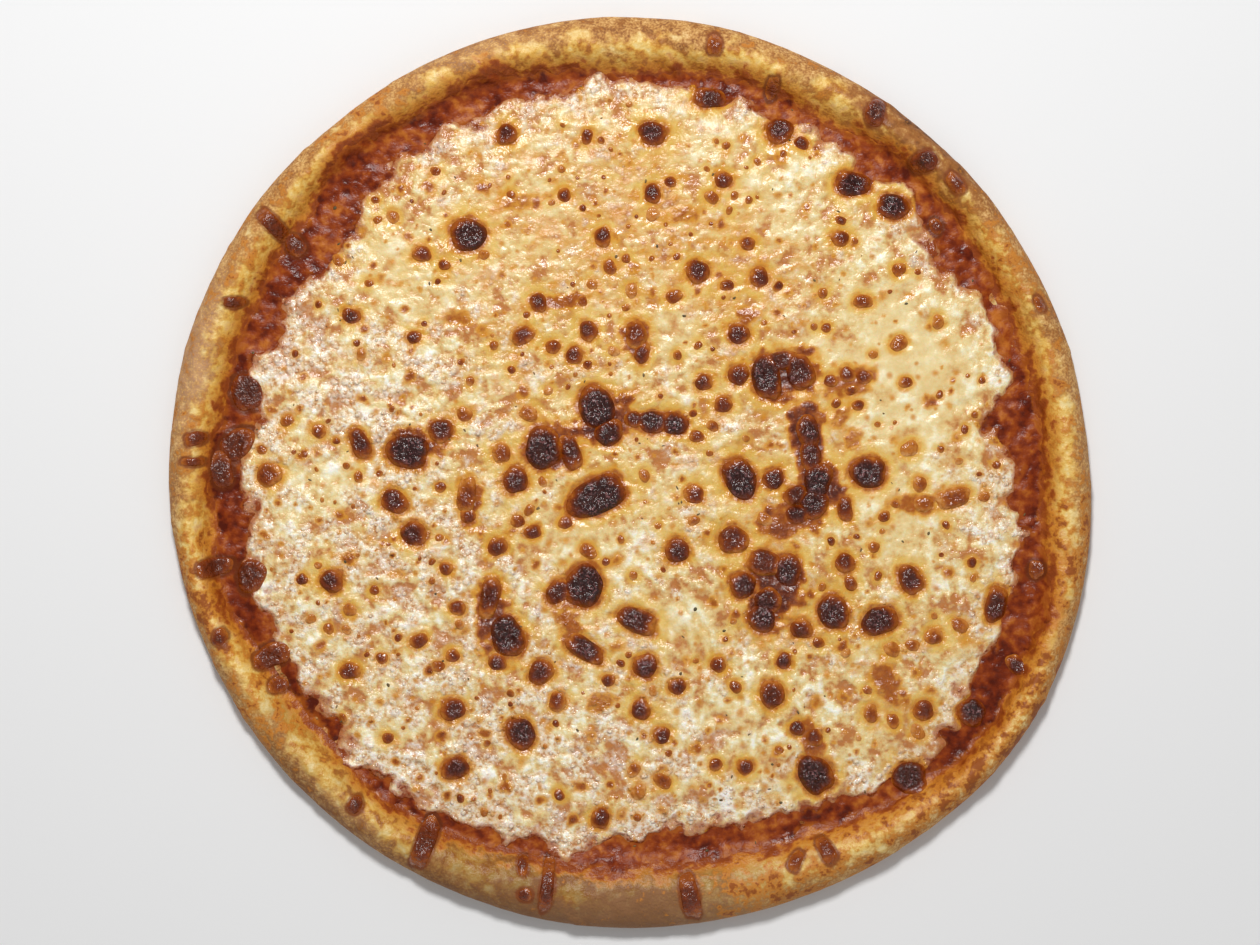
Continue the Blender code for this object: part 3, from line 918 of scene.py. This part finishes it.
# ---------------------------------------------------------------- cheese


def melt(field, width):
    """Blurs a square field by this many cells."""
    rows, columns = (np.fft.fftfreq(size)[:, None] for size in field.shape)
    blur = np.exp(-2 * (math.pi * width) ** 2 * (rows**2 + columns.T**2))
    return np.fft.ifft2(np.fft.fft2(field) * blur).real


def lay_shreds(x, y, rng):
    """Height of the melted shreds over the plane, each a low rounded ridge."""
    field = np.zeros_like(x)
    reach = x.max()
    for _ in range(SHRED_COUNT):
        place_x, place_y = rng.uniform(-reach, reach, 2)
        length, wide = rng.uniform(6, 24), rng.uniform(1.7, 3.6)
        # They lie about level on the far side, steeply on the near side, and any way in between
        lean = 15 if place_y > 0 else 110
        turn = rng.normal(lean, 28 + 40 * rng.random())
        level, bend = rng.uniform(-0.5, 0.5), rng.normal(0, 0.014)
        spot = Spot(place_x, place_y, length, wide, turn, 0)
        rows, columns = window(spot, x, y, wide)
        if min(rows.stop - rows.start, columns.stop - columns.start) < 2:
            continue
        near_x, near_y = x[rows, columns] - place_x, y[rows, columns] - place_y
        cosine, sine = math.cos(math.radians(turn)), math.sin(math.radians(turn))
        along, side = near_x * cosine + near_y * sine, near_y * cosine - near_x * sine
        side = side - bend * along**2
        past = np.clip(np.abs(along) - (length - wide) / 2, 0, None)
        section = np.clip(1 - (side**2 + past**2) / (wide / 2) ** 2, 0, 1)
        field[rows, columns] = np.maximum(field[rows, columns], (level + 0.7) * np.sqrt(section))
    return field


def grid_faces(inside):
    """Quads of a grid whose four corners are all inside, as numbers of grid points."""
    whole = inside[:-1, :-1] & inside[1:, :-1] & inside[1:, 1:] & inside[:-1, 1:]
    row, column = np.nonzero(whole)
    wide = inside.shape[1]
    corner = row * wide + column
    return np.column_stack([corner, corner + 1, corner + wide + 1, corner + wide])


def border_of(faces):
    """The border of a set of quads, as point numbers in order."""
    sides = np.vstack([faces[:, [k, (k + 1) % 4]] for k in range(4)])
    known = {(a, b) for a, b in sides.tolist()}
    following = {a: b for a, b in known if (b, a) not in known}
    first = min(following)
    loop = [first]
    while following[loop[-1]] != first:
        loop.append(following[loop[-1]])
    return np.array(loop), len(following)


def make_cheese(sauce_tree, spots, smudges):
    line = np.arange(-CHEESE_GRID, CHEESE_GRID, CHEESE_CELL)
    x, y = np.meshgrid(line, line)
    radius, angle = np.hypot(x, y), np.arctan2(y, x)
    within = cheese_edge(angle) - radius
    inside = within > -CHEESE_OUTSIDE
    rng = np.random.default_rng(11)
    shreds = melt(lay_shreds(x, y, rng), 0.55)
    # Smoother where the cheese melted most, on the right and in the middle of the far side
    shredded = 0.62 + 0.4 * noise(x, y, 70, 30) - 0.25 * step(60, 140, x) + 0.2 * step(0, -120, y)
    shredded = np.clip(shredded + within_zones(x, y, STRANDED) - 0.5 * within_zones(x, y, WARM), 0.25, 1.3)
    below = np.full_like(x, FLOOR_HEIGHT + SAUCE_DEPTH)
    edge_zone = inside & (within < 22)
    below[edge_zone] = top_of(sauce_tree, x[edge_zone], y[edge_zone])
    below = np.minimum(below, FLOOR_HEIGHT + 4)

    lip = cheese_within(x, y)
    cover = CHEESE_DEPTH * (0.35 * step(-1, 3, lip) + 0.65 * step(1, 15, lip))
    cover += 0.35 * noise(x, y, 26, 33) + 0.22 * noise(x, y, 9, 34)
    cover += (shreds * shredded + 0.3 * (1 - shredded)) * step(-5, 2, lip) - 1.6 * step(-0.5, -4, lip)
    cover += 0.06 * noise(x, y, 2.2, 35) + 0.12 * noise(x, y, 4, 36)
    toast, oil = np.zeros_like(x), np.zeros_like(x)
    for spot, part, near_x, near_y in each_window(spots, x, y, 7):
        size = size_of(spot)
        outside = np.maximum(from_spot(spot, near_x, near_y)[1], 0)
        cover[part] -= min(0.35, 0.035 * size) * hump(outside, 0.8 + 0.05 * size)
        reach = halo_of(spot) * (1 + 0.7 * noise(near_x, near_y, 5, 43))
        ring = hump(outside, np.maximum(reach, 0.4)) * (0.3 + 0.42 * spot.dark) * min(1, 0.45 + 0.08 * size)
        toast[part] = np.maximum(toast[part], ring)
        shine = hump(outside, 1.0 + 0.26 * size) * min(1, 0.17 * size)
        oil[part] = np.maximum(oil[part], shine)
    for spot, part, near_x, near_y in each_window(smudges, x, y, 3):
        share = from_spot(spot, near_x, near_y)[0] + 0.35 * noise(near_x, near_y, 2.6, 49)
        toast[part] = np.maximum(toast[part], spot.dark * hump(np.maximum(share, 0), 0.85))
    for spot, part, near_x, near_y in each_window(SCORCHED, x, y, 7):
        share = from_spot(spot, near_x, near_y)[0]
        share = share + 0.3 * noise(near_x, near_y, 8, 45) + 0.3 * noise(near_x, near_y, 3.2, 46)
        skin = spot.dark * step(1.3, 0.4, share)
        cover[part] += 0.9 * skin * (ridges(near_x, near_y, 4, 47) - 0.4)
        toast[part] = np.maximum(toast[part], 1.25 * skin)
    heights = below + cover
    thick = 0.9 * shreds * shredded + 0.55 * np.clip(1 - shredded, 0, 1) + 0.22 * noise(x, y, 13, 37) - 0.02
    frothy, smooth = within_zones(x, y, FROTHY), within_zones(x, y, SMOOTH)
    thick += (0.12 + 0.8 * frothy) * noise(x, y, 8, 50) + 0.2 * frothy
    froth = 0.38 + 0.5 * noise(x, y, 11, 38) - 0.3 * thick + 0.3 * step(14, 3, lip)
    froth += frothy - smooth
    warm = 0.05 + within_zones(x, y, WARM) - 0.6 * smooth + 0.25 * noise(x, y, 34, 44)
    tanned = noise(x, y, 7, 41) + 0.25 * noise(x, y, 2.4, 42) + 0.2 * warm
    toast = np.maximum(toast, 0.6 * step(0.55, 1.0, tanned))

    faces = grid_faces(inside)
    loop, border = border_of(faces)
    if len(loop) != border:
        raise ValueError("the cheese's border is not one loop")
    points = np.column_stack([x.ravel(), y.ravel(), heights.ravel()])
    used = np.unique(faces)
    number = np.full(points.shape[0], -1)
    number[used] = np.arange(len(used))
    floor = points[loop].copy()
    floor[:, 2] = CHEESE_FLOOR
    top = points[used]
    points = np.vstack([top, floor, [[0, 0, CHEESE_FLOOR]]])
    lower = len(top) + np.arange(len(loop))
    upper = number[loop]
    walls = np.column_stack([np.roll(upper, -1), upper, lower, np.roll(lower, -1)])
    base = np.column_stack([np.full(len(loop), len(points) - 1), np.roll(lower, -1), lower])
    calm = smooth * 1.5 - within_zones(x, y, STRANDED) + 0.35 * noise(x, y, 17, 48) + 0.05
    calm = np.clip(calm, 0, 1) * step(4, 14, lip)
    values = {"cover": thick, "toast": toast, "oil": oil, "rind": step(4, -1, lip), "grainy": froth,
              "warm": warm, "calm": calm}
    values = {key: np.append(value.ravel()[used], np.zeros(len(loop) + 1)) for key, value in values.items()}
    all_faces = [number[faces], walls, base]
    make_piece("melted_cheese_surface", points, all_faces, values, cheese_look(), "cheese")
    return tree_of(points, all_faces)


# ---------------------------------------------------------------- small spots and herbs


def scatter_spots(count, sizes, taken, rng, crowding):
    """Small browned spots over the cheese, clear of those already there."""
    made = []
    while len(made) < count:
        x, y = rng.uniform(-SPOT_REACH, SPOT_REACH, 2)
        if math.hypot(x, y) > cheese_edge(math.atan2(y, x)) - 4:
            continue
        if rng.random() > 0.55 + crowding * float(noise(np.array(x), np.array(y), 34, 40)):
            continue
        size = sizes[0] + (sizes[1] - sizes[0]) * rng.random() ** 1.8
        clear = all(math.hypot(x - o.x, y - o.y) > (o.length + size) / 2 + 0.4 for o in (*taken, *made))
        if clear:
            dark = rng.uniform(0.1, 0.25) + 0.1 * size * rng.random()
            made.append(Spot(x, y, size * rng.uniform(1, 1.4), size, rng.uniform(0, 180), dark))
    return made


def make_flakes(ground, rng):
    """Dried herbs and coarse pepper: small bent leaves that lie on the cheese and the sauce."""
    points, faces = [], []
    for index in range(FLAKE_COUNT):
        distance, angle = FLAKE_REACH * math.sqrt(rng.random()), rng.uniform(0, math.tau)
        centre = np.array([distance * math.cos(angle), distance * math.sin(angle)])
        size, turn = rng.uniform(*FLAKE_SIZE), rng.uniform(0, math.tau)
        slim, bow = rng.uniform(0.35, 0.8), rng.uniform(0.05, 0.25)
        corners = np.arange(FLAKE_SIDES) / FLAKE_SIDES * math.tau
        along = size / 2 * np.cos(corners) * rng.uniform(0.8, 1.1, FLAKE_SIDES)
        side = size / 2 * slim * np.sin(corners) * rng.uniform(0.7, 1.15, FLAKE_SIDES)
        x = centre[0] + along * math.cos(turn) - side * math.sin(turn)
        y = centre[1] + along * math.sin(turn) + side * math.cos(turn)
        base = ground(x, y)
        rim = np.column_stack([x, y, base + 0.12])
        low = np.column_stack([x, y, base - 0.25])
        middle = [[*centre, rim[:, 2].mean() + bow]]
        first = index * (2 * FLAKE_SIDES + 2)
        crown = first + 2 * FLAKE_SIDES
        points += [rim, low, middle, [[*centre, low[:, 2].mean()]]]
        faces += [fan_faces(crown, first, FLAKE_SIDES), ring_faces(2, FLAKE_SIDES, first),
                  fan_faces(crown + 1, first + FLAKE_SIDES, FLAKE_SIDES, flipped=True)]
    return make_piece("herb_flakes", np.vstack(points), faces, {}, herb_look())


# ---------------------------------------------------------------- the studio


def plain_material(name, shade):
    material = bpy.data.materials.new(name)
    material.use_nodes = True
    shader = material.node_tree.nodes["Principled BSDF"]
    shader.inputs["Base Color"].default_value = shade
    shader.inputs["Roughness"].default_value = 0.9
    return material


def make_floor():
    bpy.ops.mesh.primitive_plane_add(size=8)
    floor = bpy.context.object
    floor.name = "studio_floor"
    floor.data.materials.append(plain_material("pale_floor", colour(236, 236, 236)))


def make_lamp(name, direction, height, distance, width, power):
    """A white square lamp that faces the pizza, seen from it in this direction at this height in degrees.
    Distance and width are in metres.
    """
    turn, climb = math.radians(direction), math.radians(height)
    away = Vector((math.cos(turn) * math.cos(climb), math.sin(turn) * math.cos(climb), math.sin(climb)))
    data = bpy.data.lights.new(name, "AREA")
    data.size = width
    data.energy = power
    lamp = bpy.data.objects.new(name, data)
    lamp.location = away * distance
    lamp.rotation_euler = away.to_track_quat("Z", "Y").to_euler()
    bpy.context.scene.collection.objects.link(lamp)


def make_studio():
    make_floor()
    make_lamp("key", direction=97, height=58, distance=1.3, width=0.22, power=13.4)
    make_lamp("fill", direction=-75, height=40, distance=1.6, width=1.4, power=3.6)
    world = bpy.data.worlds.new("studio")
    world.use_nodes = True
    world.node_tree.nodes["Background"].inputs["Color"].default_value = (1, 1, 1, 1)
    world.node_tree.nodes["Background"].inputs["Strength"].default_value = WORLD_STRENGTH
    bpy.context.scene.world = world
    bpy.context.scene.view_settings.view_transform = "Standard"


def make_camera():
    low, high = CAD_BOX
    data = bpy.data.cameras.new("camera")
    tall = (high.y - low.y) * CAMERA_MARGIN
    data.sensor_width = 36
    data.lens = data.sensor_width * (CAMERA_HEIGHT - high.z) / (tall * FRAME_ASPECT)
    camera = bpy.data.objects.new("camera", data)
    camera.location = ((low.x + high.x) / 2, (low.y + high.y) / 2, CAMERA_HEIGHT)
    bpy.context.scene.collection.objects.link(camera)
    bpy.context.scene.camera = camera


# ---------------------------------------------------------------- the pizza


def make_pizza():
    rng = np.random.default_rng(23)
    small = scatter_spots(SMALL_COUNT, SMALL_SIZE, BLISTERS, rng, 0.5)
    freckles = scatter_spots(FRECKLE_COUNT, FRECKLE_SIZE, BLISTERS + small, rng, 0.6)
    crust_tree = make_crust()
    sauce_tree = make_sauce(crust_tree)
    smudges = scatter_spots(SMUDGE_COUNT, SMUDGE_SIZE, BLISTERS, rng, 0.5)
    smudges = [spot._replace(dark=rng.uniform(0.4, 1.0)) for spot in smudges]
    cheese_tree = make_cheese(sauce_tree, BLISTERS + small + freckles, smudges)
    trees = (crust_tree, sauce_tree, cheese_tree)

    def on_cheese(x, y):
        return np.maximum(top_of(sauce_tree, x, y), top_of(cheese_tree, x, y))

    def on_all(x, y):
        return np.max([top_of(tree, x, y) for tree in trees], axis=0)

    # The last colour given to each look is a painted highlight on its wrinkles' crests
    browned = blister_look("browned_blister_look", 0.0, colour(150, 98, 98))
    make_domes("browned_blisters", BLISTERS, on_cheese, lambda size: 0.45 + 0.095 * size, 0.68, browned)
    make_domes("small_blisters", small, on_cheese, lambda size: 0.2 + 0.11 * size, 0.62, browned)
    make_domes("freckles", freckles, on_cheese, lambda size: 0.1 + 0.08 * size, 0.5, browned)
    burnt = blister_look("burnt_drip_look", 0.06, colour(160, 96, 66))
    drips = [spot._replace(dark=0.78 * spot.dark) for spot in DRIPS]
    make_domes("burnt_drips", drips, on_all, lambda size: 0.4 + 0.05 * size, 0.45, burnt)
    make_flakes(on_all, rng)


make_pizza()
make_studio()
make_camera()
